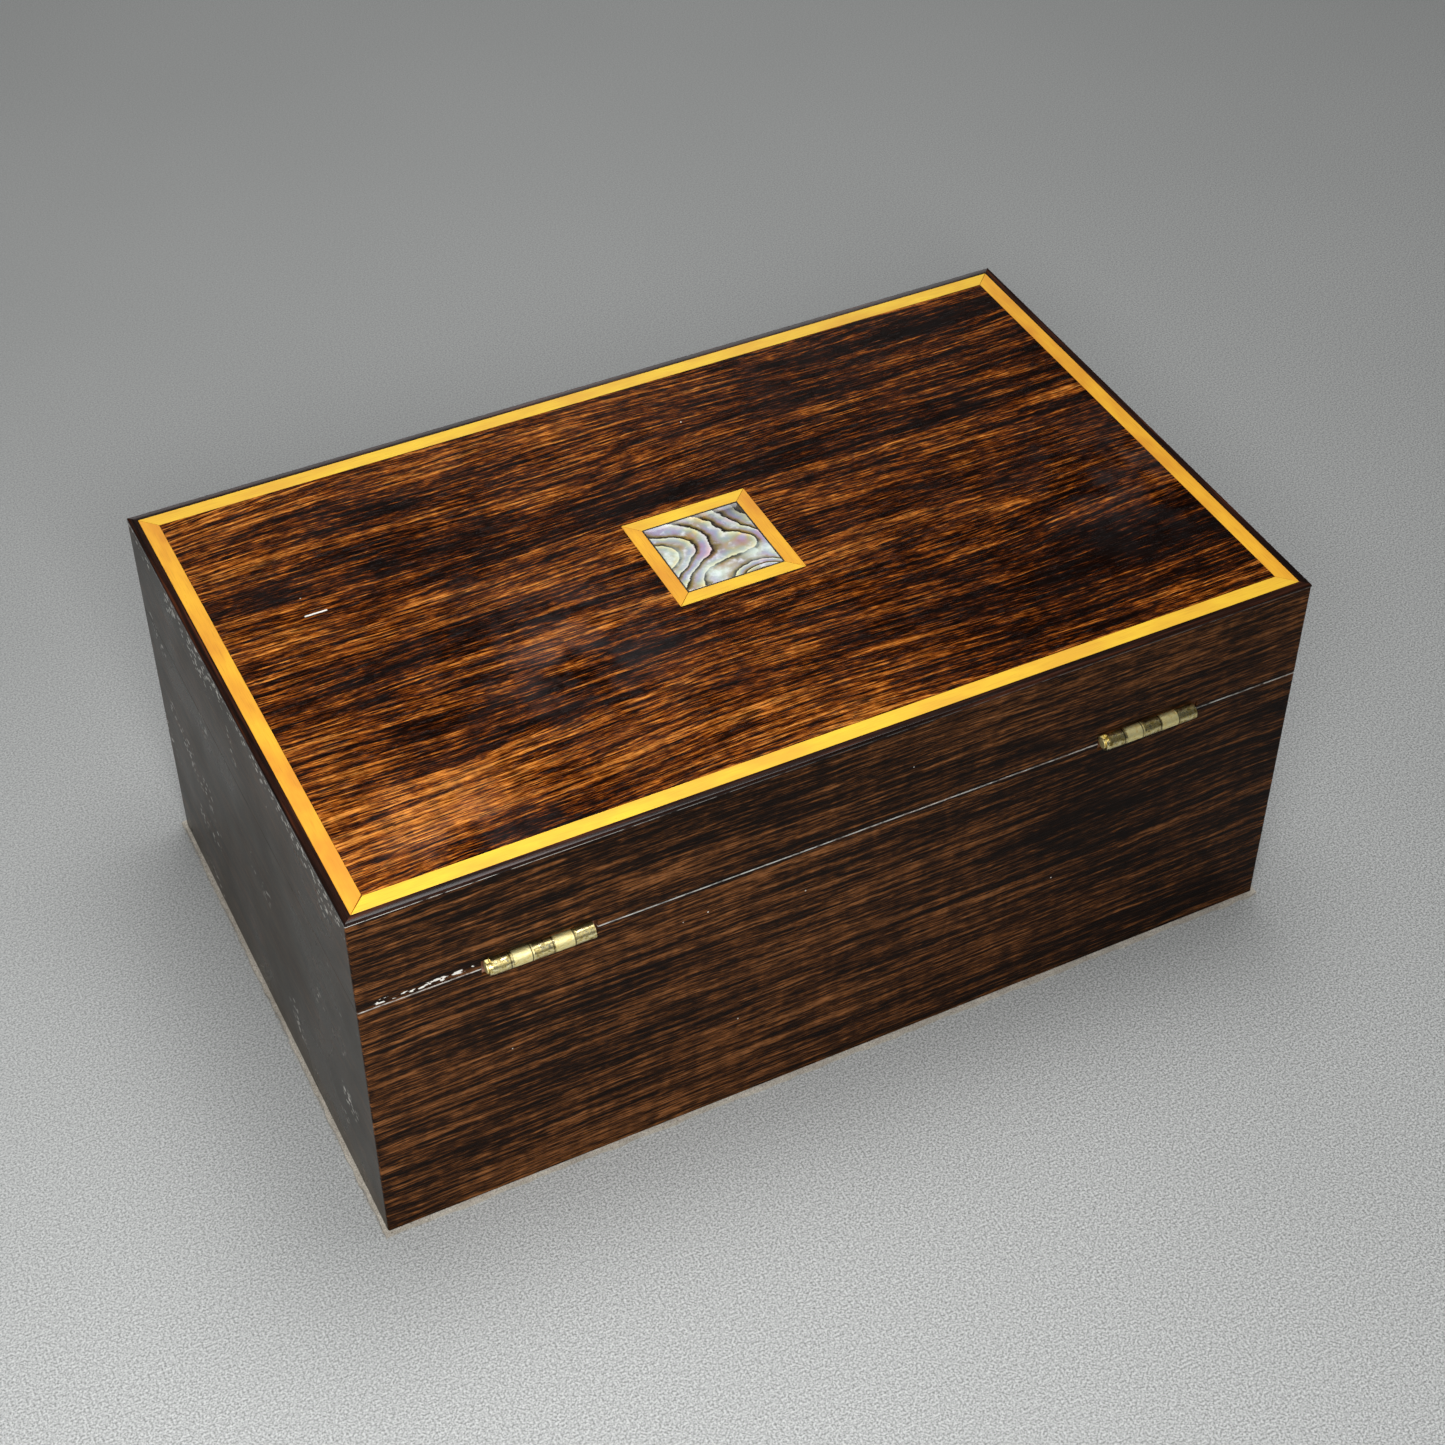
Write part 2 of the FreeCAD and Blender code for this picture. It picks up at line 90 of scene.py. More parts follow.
class Finish:
    """A material in the making, with short ways to add nodes and join them. Lengths are in millimetres."""

    def __init__(self, name):
        self.material = bpy.data.materials.new(name)
        self.material.use_nodes = True
        self.tree = self.material.node_tree
        self.shader = self.tree.nodes["Principled BSDF"]

    def node(self, kind, **settings):
        made = self.tree.nodes.new("ShaderNode" + kind)
        for key, value in settings.items():
            setattr(made, key, value)
        return made

    def feed(self, socket, value):
        """Joins a socket to another node's output, or sets it to a plain value."""
        if isinstance(value, bpy.types.NodeSocket):
            self.tree.links.new(value, socket)
        elif isinstance(value, tuple) and len(value) == 3 and socket.type == "RGBA":
            socket.default_value = (*value, 1.0)
        else:
            socket.default_value = value

    def maths(self, operation, first, second=0.0):
        made = self.node("Math", operation=operation)
        self.feed(made.inputs[0], first)
        self.feed(made.inputs[1], second)
        return made.outputs[0]

    def spread(self, value, low, high, new_low=0.0, new_high=1.0, smooth=False):
        """Stretches a value's range low..high to new_low..new_high, and cuts off what lies outside."""
        made = self.node("MapRange", interpolation_type="SMOOTHSTEP" if smooth else "LINEAR")
        for socket, given in zip(made.inputs, (value, low, high, new_low, new_high)):
            self.feed(socket, given)
        return made.outputs[0]

    def band(self, value, low, high, soft):
        """1 between low and high, fading to 0 over a width of soft outside them."""
        rise = self.spread(value, low - soft, low, smooth=True)
        fall = self.spread(value, high, high + soft, 1.0, 0.0, smooth=True)
        return self.maths("MULTIPLY", rise, fall)

    def axes(self):
        """The object's own X, Y and Z in millimetres."""
        place = self.node("TexCoord").outputs["Object"]
        scaled = self.node("VectorMath", operation="SCALE")
        self.feed(scaled.inputs[0], place)
        scaled.inputs["Scale"].default_value = 1000.0
        parted = self.node("SeparateXYZ")
        self.feed(parted.inputs[0], scaled.outputs[0])
        return parted.outputs[0], parted.outputs[1], parted.outputs[2]

    def place(self, x, y, z, scale=(1.0, 1.0, 1.0), shift=(0.0, 0.0, 0.0)):
        """A point made of three values, stretched by scale and moved by shift."""
        joined = self.node("CombineXYZ")
        for socket, value in zip(joined.inputs, (x, y, z)):
            self.feed(socket, value)
        mapped = self.node("Mapping")
        self.feed(mapped.inputs["Vector"], joined.outputs[0])
        mapped.inputs["Scale"].default_value = scale
        mapped.inputs["Location"].default_value = shift
        return mapped.outputs[0]

    def noise(self, place, scale=1.0, detail=2.0, roughness=0.5, distortion=0.0):
        """Cloudy values about 0.5, with clouds 1 / scale wide."""
        made = self.node("TexNoise")
        self.feed(made.inputs["Vector"], place)
        made.inputs["Scale"].default_value = scale
        made.inputs["Detail"].default_value = detail
        made.inputs["Roughness"].default_value = roughness
        made.inputs["Distortion"].default_value = distortion
        return made.outputs[0]

    def cells(self, place):
        """Distance from the nearest of points scattered about 1 apart."""
        made = self.node("TexVoronoi", feature="F1")
        self.feed(made.inputs["Vector"], place)
        made.inputs["Scale"].default_value = 1.0
        return made.outputs["Distance"]

    def ramp(self, value, stops):
        """Colours at positions from 0 to 1, blended between."""
        made = self.node("ValToRGB")
        self.feed(made.inputs[0], value)
        elements = made.color_ramp.elements
        while len(elements) < len(stops):
            elements.new(0.5)
        for element, (position, colour) in zip(elements, stops):
            element.position = position
            element.color = (*colour, 1.0)
        return made.outputs[0]

    def mix(self, amount, first, second, mode="MIX"):
        made = self.node("Mix", data_type="RGBA", blend_type=mode)
        self.feed(made.inputs[0], amount)
        self.feed(made.inputs[6], first)
        self.feed(made.inputs[7], second)
        return made.outputs[2]

    def relief(self, height, depth_mm):
        """Shades the surface as if it rose by depth_mm where height goes from 0 to 1."""
        bump = self.node("Bump")
        self.feed(bump.inputs["Height"], height)
        bump.inputs["Distance"].default_value = depth_mm * MM
        bump.inputs["Strength"].default_value = 1.0
        self.feed(self.shader.inputs["Normal"], bump.outputs[0])

    def surface(self, colour, roughness, **constants):
        """Joins up the shader, and gives the finished material."""
        self.feed(self.shader.inputs["Base Color"], colour)
        self.feed(self.shader.inputs["Roughness"], roughness)
        for name, value in constants.items():
            self.feed(self.shader.inputs[name.replace("_", " ")], value)
        return self.material


def long_grain(finish, grain, across, depth, along_scale, across_scale, shift=(0.0, 0.0, 0.0)):
    """A point stretched along the grain: along_scale is smaller than across_scale, both per millimetre."""
    return finish.place(grain, across, depth, (along_scale, across_scale, across_scale), shift)


def striped_figure(finish, grain, across, depth, seed, wave, shares, band_pitch):
    """Values from 0 to 1 for the stripes, the pores and the slow change of tone of a striped veneer.
    wave is how far the stripes stray in millimetres, shares how much the broad bands, the streaks and the
    single fibres count, and band_pitch the width of a broad band in millimetres."""
    at = (seed * 31.7, seed * 17.3, seed * 7.9)
    slow = finish.noise(long_grain(finish, grain, across, depth, 0.006, 0.018, at), detail=1)
    quick = finish.noise(long_grain(finish, grain, across, depth, 0.045, 0.14, at), detail=2)
    bend = finish.maths("ADD", finish.maths("MULTIPLY", slow, wave), finish.maths("MULTIPLY", quick, 1.4))
    line = finish.maths("ADD", across, bend)
    bands = finish.noise(long_grain(finish, grain, line, depth, 0.006, 1 / band_pitch, at), detail=1)
    streaks = finish.noise(long_grain(finish, grain, line, depth, 0.036, 0.95, at), detail=3, roughness=0.68)
    fibres = finish.noise(long_grain(finish, grain, line, depth, 0.22, 3.4, at), detail=2, roughness=0.7)
    figure = 0.0
    for part, share in zip((bands, streaks, fibres), shares):
        counted = finish.maths("MULTIPLY", finish.spread(part, 0.32, 0.68), share)
        figure = finish.maths("ADD", figure, counted)
    pore_place = long_grain(finish, grain, line, depth, 0.10, 1.9, at)
    pores = finish.spread(finish.noise(pore_place, detail=1), 0.57, 0.61)
    tone = finish.noise(long_grain(finish, grain, across, depth, 0.011, 0.02, at), detail=2)
    return figure, pores, tone


def sum_of_squares(finish, first, second):
    squares = [finish.maths("MULTIPLY", value, value) for value in (first, second)]
    return finish.maths("ADD", *squares)


def swell(finish, u, v, centre, reach):
    """A smooth round hill: 1 at its centre, nearly 0 at three times its reach."""
    across = finish.maths("DIVIDE", finish.maths("SUBTRACT", u, centre[0]), reach[0])
    along = finish.maths("DIVIDE", finish.maths("SUBTRACT", v, centre[1]), reach[1])
    square = sum_of_squares(finish, across, along)
    return finish.maths("EXPONENT", finish.maths("MULTIPLY", square, -0.5))


def dust(finish, x, y, z, pitch, size, seed):
    """Sparse specks, one to a cell of about pitch millimetres."""
    near = finish.cells(finish.place(x, y, z, (1 / pitch,) * 3, (seed, seed * 0.37, seed * 0.71)))
    return finish.spread(near, size / pitch, 1.6 * size / pitch, 1.0, 0.0)


STRIPE_STEPS = (0.34, 0.46, 0.56, 0.67, 0.82)  # where in the figure each of the five tones lies


def rosewood(finish, grain, across, depth, tones, seed, wave, shares, band_pitch, lighter):
    """Colour and relief of polished striped rosewood. tones run from the darkest stripe to the lightest,
    lighter moves the whole figure towards the light stripes where it is above 0, and the rest is as in
    striped_figure."""
    figure, pores, tone = striped_figure(finish, grain, across, depth, seed, wave, shares, band_pitch)
    shifted = finish.maths("ADD", figure, finish.spread(tone, 0.3, 0.7, -0.09, 0.09))
    shifted = finish.maths("ADD", shifted, lighter)
    colour = finish.ramp(shifted, list(zip(STRIPE_STEPS, tones)))
    cross = finish.noise(finish.place(grain, across, depth, (0.28, 0.10, 0.10)), detail=2)
    flash = finish.spread(cross, 0.35, 0.65, 0.75, 1.25)
    shade = finish.node("CombineColor")
    for socket in shade.inputs[:3]:
        finish.feed(socket, flash)
    colour = finish.mix(1.0, colour, shade.outputs[0], "MULTIPLY")
    colour = finish.mix(finish.maths("MULTIPLY", pores, 0.8), colour, tones[0])
    height = finish.maths("SUBTRACT", finish.maths("MULTIPLY", figure, 0.3), pores)
    return colour, height


# Five tones of rosewood from dark to light, on the top and on the sides
TOP_TONES = ((0.003, 0.0007, 0.0002), (0.017, 0.0036, 0.0005), (0.092, 0.0185, 0.0014),
             (0.27, 0.070, 0.0065), (0.58, 0.215, 0.036))
SIDE_TONES = ((0.0045, 0.0016, 0.0005), (0.015, 0.0053, 0.0014), (0.053, 0.0175, 0.0042),
              (0.130, 0.045, 0.011), (0.22, 0.086, 0.027))
# The same pale colour also serves for the painted highlights at the back's rim and the crossband's foot
PALE_WAX_AND_HIGHLIGHT = (0.80, 0.77, 0.70)  # pale wax, dust and bare edges

# On the top, in millimetres: the middle of each patch, its reach along the length and the width, and how much
# lighter it is, and then the middles and reaches of the painted sheen, a hazy reflection painted into the
# colour, and the scratch's two spans
LIGHT_PATCHES = (((112.0, 72.0), (26.0, 9.0), 0.09), ((-30.0, 52.0), (30.0, 9.0), 0.07),
                 ((-8.0, -30.0), (34.0, 5.0), -0.14), ((-95.0, 42.0), (36.0, 22.0), -0.07))
PAINTED_SHEEN_SPOTS = (((59.0, 21.0), 20.0), ((115.0, 74.0), 12.0), ((-134.0, 23.0), 18.0))
SCRATCH_X = (112.9, 119.5)
SCRATCH_Y = (-26.25, -25.75)


def top_veneer_finish():
    """Glossy striped rosewood of the top, with specks, a short pale scratch and faint painted sheen, a hazy
    reflection painted into the colour of the polish.
    """
    finish = Finish("polished_top_rosewood")
    x, y, z = finish.axes()
    lighter = finish.spread(x, -150.0, 150.0, -0.055, 0.035)
    for centre, reach, lift in LIGHT_PATCHES:
        patch = finish.maths("MULTIPLY", swell(finish, x, y, centre, reach), lift)
        lighter = finish.maths("ADD", lighter, patch)
    colour, height = rosewood(finish, x, y, z, TOP_TONES, 1.0, wave=17.0, shares=(0.22, 0.42, 0.36),
                              band_pitch=6.5, lighter=lighter)
    cloud = finish.noise(finish.place(x, y, z, (0.05, 0.05, 0.05)), detail=4, roughness=0.65)
    # Painted sheen: faint grey-blue haze mixed into the colour at a few spots, standing in for a blurred
    # reflection in the polish
    painted_sheen = 0.0
    for centre, reach in PAINTED_SHEEN_SPOTS:
        painted_sheen = finish.maths("MAXIMUM", painted_sheen, swell(finish, x, y, centre, (reach, reach)))
    painted_sheen = finish.maths("MULTIPLY", painted_sheen, finish.spread(cloud, 0.40, 0.62, 0.0, 0.038))
    colour = finish.mix(painted_sheen, colour, (0.46, 0.48, 0.52))
    scratch = finish.maths("MULTIPLY", finish.band(x, *SCRATCH_X, 0.3), finish.band(y, *SCRATCH_Y, 0.15))
    specks = dust(finish, x, y, z, 19.0, 0.22, 2.0)
    colour = finish.mix(finish.maths("MAXIMUM", scratch, specks), colour, PALE_WAX_AND_HIGHLIGHT)
    finish.relief(height, 0.03)
    roughness = finish.spread(cloud, 0.35, 0.7, 0.20, 0.38)
    return finish.surface(colour, roughness, Specular_IOR_Level=0.07, Coat_Weight=0.20, Coat_Roughness=0.10)


def side_veneer_finish(name, grain_axis, seed, mark=None, painted_reflection_grey=0.0):
    """Striped rosewood of the sides, with its grain level along the wall. The fifth argument is how much grey
    is painted into the colour as a painted reflection of the pale floor in the polish, strongest on the right
    end, and mark is a
    function that gives its pale marks: dust and wear, and on the back a painted highlight."""
    finish = Finish(name)
    x, y, z = finish.axes()
    along, out = (x, y) if grain_axis == "X" else (y, x)
    colour, height = rosewood(finish, along, z, out, SIDE_TONES, seed, wave=6.0, shares=(0.24, 0.42, 0.34),
                              band_pitch=2.9, lighter=0.0)
    pale = dust(finish, x, y, z, 15.0, 0.20, seed)
    if mark:
        pale = finish.maths("MAXIMUM", pale, mark(finish, x, y, z))
    cloud = finish.noise(finish.place(x, y, z, (0.03, 0.03, 0.03)), detail=4)
    # Painted reflection: a grey film mixed into the colour, standing in for the pale floor mirrored in the
    # polish
    if painted_reflection_grey:
        painted_reflection_film = finish.spread(cloud, 0.3, 0.7, painted_reflection_grey * 0.8, painted_reflection_grey)
        colour = finish.mix(painted_reflection_film, colour, (0.105, 0.098, 0.082))
    colour = finish.mix(pale, colour, PALE_WAX_AND_HIGHLIGHT)
    finish.relief(height, 0.02)
    roughness = finish.spread(cloud, 0.35, 0.7, 0.26, 0.42)
    return finish.surface(colour, roughness, Specular_IOR_Level=0.03, Coat_Weight=0.11, Coat_Roughness=0.16)


def seam_highlight_and_polish_residue(finish, x, y, z):
    """The pale line at the rim of the back, a painted highlight on the rounded edge of the base, and the
    polish left above it beside the right hinge.
    """
    rim = RIM_Z / MM
    broken = finish.noise(finish.place(x, y, z, (0.25, 1.0, 1.0)), detail=3, roughness=0.7)
    # Painted highlight: a broken pale line along the rim, where the rounded edge of the base would catch the
    # light
    line = finish.maths("MULTIPLY", finish.band(z, rim - 0.20, rim + 0.1, 0.08),
                        finish.spread(broken, 0.36, 0.56, 0.08, 0.62))
    run = finish.band(x, HINGE_HIGH.x / MM + 2.0, RIGHT_X / MM - 6.0, 2.0)
    above = finish.band(z, rim + 1.1, rim + 2.5, 0.3)
    dabs = finish.noise(finish.place(x, y, z, (0.36, 0.75, 0.75), (3.1, 0.0, 5.2)), detail=2)
    dabs = finish.spread(dabs, 0.575, 0.595)
    residue = finish.maths("MULTIPLY", finish.maths("MULTIPLY", run, above), dabs)
    return finish.maths("MAXIMUM", line, residue)


def arris_dust(finish, x, y, z):
    """Dust and tiny chips on the right end, thick just under the edge of the top and thin below."""
    fine = finish.cells(finish.place(x, y, z, (0.60, 0.32, 0.62)))
    specks = finish.spread(fine, 0.31, 0.36, 1.0, 0.0)
    patchy = finish.noise(finish.place(x, y, z, (0.05, 0.05, 0.05)), detail=4)
    top = TOP_HIGH.z / MM
    near_top = finish.spread(z, top - 10.0, top - 1.0, 0.0, 0.24, smooth=True)
    chance = finish.spread(finish.maths("ADD", patchy, near_top), 0.60, 0.68)
    return finish.maths("MULTIPLY", specks, chance)


def crossband_finish(name, grain_axis, seed):
    """Very dark red-brown polished band with a painted highlight: a pale broken line along the foot of its
    outer side.
    """
    finish = Finish(name)
    x, y, z = finish.axes()
    along, across = (x, y) if grain_axis == "X" else (y, x)
    streak = finish.noise(finish.place(along, across, z, (0.03, 1.2, 1.2), (seed, seed, seed)), detail=3)
    colour = finish.ramp(streak, [(0.36, (0.006, 0.003, 0.0022)), (0.56, (0.020, 0.007, 0.004)),
                                  (0.72, (0.070, 0.020, 0.008))])
    broken_noise_place = finish.place(along, across, z, (0.22, 1.0, 1.0), (seed, 2.0, 4.0))
    broken_noise = finish.noise(broken_noise_place, detail=3, roughness=0.6)
    foot = TOP_LOW.z / MM
    # Painted highlight: a pale broken line along the foot of the band, stronger towards the right end
    line = finish.band(z, foot, foot + 0.14, 0.06)
    towards_right = finish.spread(x, 20.0, 150.0, 0.15, 1.0)
    painted_highlight = finish.maths("MULTIPLY", finish.maths("MULTIPLY", line, towards_right),
                          finish.spread(broken_noise, 0.40, 0.50, 0.0, 1.0))
    colour = finish.mix(painted_highlight, colour, PALE_WAX_AND_HIGHLIGHT)
    finish.relief(streak, 0.015)
    roughness = finish.spread(broken_noise, 0.3, 0.7, 0.20, 0.36)
    return finish.surface(colour, roughness, Specular_IOR_Level=0.1, Coat_Weight=0.3, Coat_Roughness=0.14)


def boxwood_finish(name, grain_axis, pale, deep, seed):
    """Yellow stringing wood: very fine straight grain and a slow change from pale to deep."""
    finish = Finish(name)
    x, y, z = finish.axes()
    along, across = (x, y) if grain_axis == "X" else (y, x)
    at = (seed, seed * 3.0, seed * 5.0)
    patch = finish.noise(finish.place(along, across, z, (0.05, 0.12, 0.12), at), detail=3)
    fibres = finish.noise(finish.place(along, across, z, (0.12, 3.0, 3.0), at), detail=3, roughness=0.6)
    colour = finish.ramp(patch, [(0.35, pale), (0.66, deep)])
    darker = tuple(part * 0.72 for part in deep)
    colour = finish.mix(finish.spread(fibres, 0.50, 0.76, 0.0, 0.55), colour, darker)
    finish.relief(fibres, 0.012)
    return finish.surface(colour, finish.spread(patch, 0.3, 0.7, 0.26, 0.38),
                          Coat_Weight=0.5, Coat_Roughness=0.14)


# Swells in the shell's growth, in parts of the tile's side: centre (right to left, front to back),
# reach and lift
SHELL_SWELLS = (((0.86, 0.56), (0.13, 0.13), -0.20), ((0.28, 0.85), (0.18, 0.18), 0.24),
                ((0.86, 1.12), (0.22, 0.14), -0.85), ((1.05, 0.75), (0.20, 0.20), -0.15),
                ((0.12, 0.12), (0.12, 0.08), 0.10), ((0.58, 0.83), (0.14, 0.08), 0.07))
SHELL_HEART = (-0.05, 0.45)  # where the growth starts
SHELL_BAND = 0.17            # the width of one growth band
# Bright silvery places: centre and reach
SHELL_SILVER = (((0.36, 0.86), (0.11, 0.08)), ((0.88, 0.76), (0.13, 0.07)), ((0.05, 0.50), (0.10, 0.10)))
# Across one growth band: dark line, olive side, lilac middle, silvery lip
SHELL_BAND_TONES = ((0.0, (0.010, 0.007, 0.006)), (0.09, (0.050, 0.034, 0.018)), (0.23, (0.30, 0.21, 0.080)),
                    (0.42, (0.44, 0.35, 0.42)), (0.62, (0.42, 0.46, 0.50)), (0.82, (0.68, 0.65, 0.54)),
                    (0.94, (0.92, 0.88, 0.72)), (0.985, (0.05, 0.04, 0.03)))
SHELL_TINTS = ((0.32, (1.0, 0.74, 0.98)), (0.43, (0.80, 0.86, 1.0)), (0.52, (0.86, 0.92, 0.72)),
               (0.60, (1.0, 0.84, 0.46)), (0.70, (0.94, 0.80, 1.0)))


def abalone_finish():
    """Polished shell: nested wavy growth bands, each with a dark line, an olive side and a silvery lip."""
    finish = Finish("abalone_shell")
    x, y, z = finish.axes()
    high, low = TILE_HIGH / MM, TILE_LOW / MM
    u = finish.maths("DIVIDE", finish.maths("SUBTRACT", high.x, x), high.x - low.x)
    v = finish.maths("DIVIDE", finish.maths("SUBTRACT", y, low.y), high.y - low.y)
    plane = finish.place(u, v, 0.0)
    du = finish.maths("SUBTRACT", u, SHELL_HEART[0])
    dv = finish.maths("SUBTRACT", v, SHELL_HEART[1])
    growth = finish.maths("SQRT", sum_of_squares(finish, du, dv))
    for centre, reach, lift in SHELL_SWELLS:
        hill = finish.maths("MULTIPLY", swell(finish, u, v, centre, reach), lift)
        growth = finish.maths("ADD", growth, hill)
    wander = finish.noise(plane, 3.6, detail=2)
    jagged = finish.noise(plane, 11.0, detail=3, roughness=0.6)
    growth = finish.maths("ADD", growth, finish.spread(wander, 0.0, 1.0, -0.055, 0.055))
    growth = finish.maths("ADD", growth, finish.spread(jagged, 0.0, 1.0, -0.035, 0.035))
    step = finish.maths("FRACT", finish.maths("DIVIDE", finish.maths("ADD", growth, 0.12), SHELL_BAND))
    colour = finish.ramp(step, SHELL_BAND_TONES)
    shimmer = finish.ramp(finish.noise(plane, 2.8, detail=2), SHELL_TINTS)
    colour = finish.mix(1.0, colour, shimmer, "MULTIPLY")
    mottle = finish.noise(plane, 7.0, detail=3, roughness=0.6)
    silver = 0.0
    for centre, reach in SHELL_SILVER:
        silver = finish.maths("MAXIMUM", silver, swell(finish, u, v, centre, reach))
    silver = finish.maths("MULTIPLY", silver, finish.spread(mottle, 0.36, 0.56, 0.25, 1.0))
    colour = finish.mix(finish.maths("MULTIPLY", silver, 0.85), colour, (0.80, 0.93, 0.86))
    streak = finish.maths("MULTIPLY", finish.spread(mottle, 0.54, 0.70), finish.band(step, 0.35, 0.9, 0.1))
    colour = finish.mix(finish.maths("MULTIPLY", streak, 0.7), colour, (0.86, 0.88, 0.90))
    dim = swell(finish, u, v, (0.97, 0.03), (0.14, 0.12))
    colour = finish.mix(finish.maths("MULTIPLY", dim, 0.75), colour, (0.030, 0.030, 0.034))
    finish.relief(finish.maths("ADD", step, finish.maths("MULTIPLY", jagged, 0.5)), 0.08)
    return finish.surface(colour, finish.spread(jagged, 0.3, 0.7, 0.10, 0.26),
                          Coat_Weight=0.7, Coat_Roughness=0.06)


def knuckle_gap_shade(finish, x, y):
    """Painted shade in the gaps between a hinge's five knuckles, on its barrel only."""
    from_middle = finish.maths("SUBTRACT", finish.maths("ABSOLUTE", x), HINGE_CENTRE)
    from_joint = finish.maths("PINGPONG", finish.maths("ADD", from_middle, KNUCKLE * 1.5), KNUCKLE / 2)
    joints = finish.spread(from_joint, 0.08, 0.26, 0.9, 0.0)
    half = HINGE_LENGTH / 2 - 1.0
    on_hinge = finish.band(from_middle, -half, half, 0.2)
    on_barrel = finish.spread(y, BACK_Y / MM - 1.2, BACK_Y / MM - 0.6)
    return finish.maths("MULTIPLY", finish.maths("MULTIPLY", joints, on_hinge), on_barrel)


def brass_finish(name, tones, shine, scratched):
    """Yellow brass with rubbed and tarnished patches and fine drawn scratches. tones run from tarnish to
    bright, shine is the roughness of each, and scratched is how much the scratches show, from 0 to 1."""
    finish = Finish(name)
    x, y, z = finish.axes()
    patch = finish.noise(finish.place(x, y, z, (0.75, 0.9, 0.9)), detail=4, roughness=0.68)
    lines = finish.noise(finish.place(x, y, z, (0.5, 5.0, 5.0)), detail=2)
    colour = finish.ramp(patch, list(zip((0.36, 0.46, 0.60), tones)))
    nicks = finish.maths("MULTIPLY", finish.spread(lines, 0.56, 0.66), scratched)
    colour = finish.mix(nicks, colour, tones[0])
    # Painted shade: dark rings where the gaps between the knuckles fall into shadow
    colour = finish.mix(knuckle_gap_shade(finish, x, y), colour, (0.05, 0.035, 0.015))
    height = finish.maths("ADD", finish.maths("MULTIPLY", patch, 0.8), finish.maths("MULTIPLY", lines, 0.4))
    finish.relief(height, 0.05)
    return finish.surface(colour, finish.spread(patch, 0.35, 0.62, *shine), Metallic=1.0)


def carcass_finish(name, grain_axis):
    """Oiled red-brown wood of the walls, seen when the lid is up."""
    finish = Finish(name)
    x, y, z = finish.axes()
    along, across = (x, y) if grain_axis == "X" else (y, x)
    grain = finish.noise(finish.place(along, across, z, (0.02, 0.45, 0.45)), detail=3, distortion=0.3)
    pore_place = finish.place(along, across, z, (0.18, 3.0, 3.0))
    pores = finish.spread(finish.noise(pore_place, detail=1), 0.60, 0.68)
    colour = finish.ramp(grain, [(0.30, (0.085, 0.030, 0.013)), (0.50, (0.16, 0.062, 0.026)),
                                 (0.70, (0.26, 0.11, 0.050))])
    colour = finish.mix(finish.maths("MULTIPLY", pores, 0.6), colour, (0.04, 0.015, 0.008))
    finish.relief(finish.maths("SUBTRACT", 1.0, pores), 0.03)
    return finish.surface(colour, finish.spread(grain, 0.3, 0.7, 0.42, 0.58))


def felt_finish(name, dark, light, nap_mm):
    """Matted woollen felt with its fibres lying every way. nap_mm is the depth of its relief."""
    finish = Finish(name)
    x, y, z = finish.axes()
    tangle = finish.noise(finish.place(x, y, z, (1.9, 1.9, 1.9)), detail=5, roughness=0.75, distortion=1.2)
    clump = finish.noise(finish.place(x, y, z, (0.12, 0.12, 0.12)), detail=3)
    colour = finish.ramp(tangle, [(0.34, dark), (0.66, light)])
    colour = finish.mix(finish.spread(clump, 0.4, 0.65, 0.0, 0.35), colour, dark)
    finish.relief(tangle, nap_mm)
    return finish.surface(colour, finish.spread(clump, 0.3, 0.7, 0.86, 0.98), Sheen_Weight=0.35)


def ebony_finish():
    """The black line round the shell tile."""
    finish = Finish("black_line")
    x, y, z = finish.axes()
    speck = finish.noise(finish.place(x, y, z, (1.5, 1.5, 1.5)), detail=3)
    colour = finish.ramp(speck, [(0.4, (0.008, 0.006, 0.005)), (0.7, (0.035, 0.024, 0.016))])
    finish.relief(speck, 0.02)
    return finish.surface(colour, finish.spread(speck, 0.3, 0.7, 0.35, 0.5))


def paper_finish():
    """Pale grey card of the floor, with a speckled tooth that fades away from the camera."""
    finish = Finish("pale_card")
    x, y, z = finish.axes()
    tooth = finish.noise(finish.place(x, y, z, (1.5, 1.5, 1.5)), detail=2, roughness=0.7)
    cloud = finish.noise(finish.place(x, y, z, (0.006, 0.006, 0.006)), detail=2)
    strength = finish.spread(y, -450.0, 150.0, 0.25, 1.0)
    speckle = finish.maths("MULTIPLY", finish.spread(tooth, 0.34, 0.66, -1.0, 1.0), strength)
    tones = ((0.0, (0.17, 0.175, 0.172)), (1.0, (0.55, 0.56, 0.555)))
    colour = finish.ramp(finish.spread(speckle, -1.0, 1.0), tones)
    colour = finish.mix(finish.spread(cloud, 0.35, 0.65, 0.0, 0.12), colour, (0.28, 0.29, 0.285))
    finish.relief(tooth, 0.12)
    return finish.surface(colour, 0.9, Specular_IOR_Level=0.2)


# ---------------------------------------------------------------- making pieces

def shown_mesh(name, shape, finish):
    """Turns a bmesh into an object in the scene."""
    mesh = bpy.data.meshes.new(name)
    shape.to_mesh(mesh)
    shape.free()
    mesh.materials.append(finish)
    piece = bpy.data.objects.new(name, mesh)
    bpy.context.scene.collection.objects.link(piece)
    return piece


def place_piece(name, shape, finish, node):
    """A piece that rides with, and stands for, the CAD node it is made from."""
    piece = shown_mesh(name, shape, finish)
    mesh = piece.data
    mesh.polygons.foreach_set("use_smooth", [True] * len(mesh.polygons))
    mesh.set_sharp_from_angle(angle=math.radians(38))
    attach(piece, BODY_OF[node])
    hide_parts(node)
    return piece


def soften(shape, edges, width, segments=2):
    """Rounds edges over."""
    bmesh.ops.bevel(shape, geom=edges, offset=width, segments=segments, profile=0.5, affect="EDGES",
                    material=-1, clamp_overlap=True)


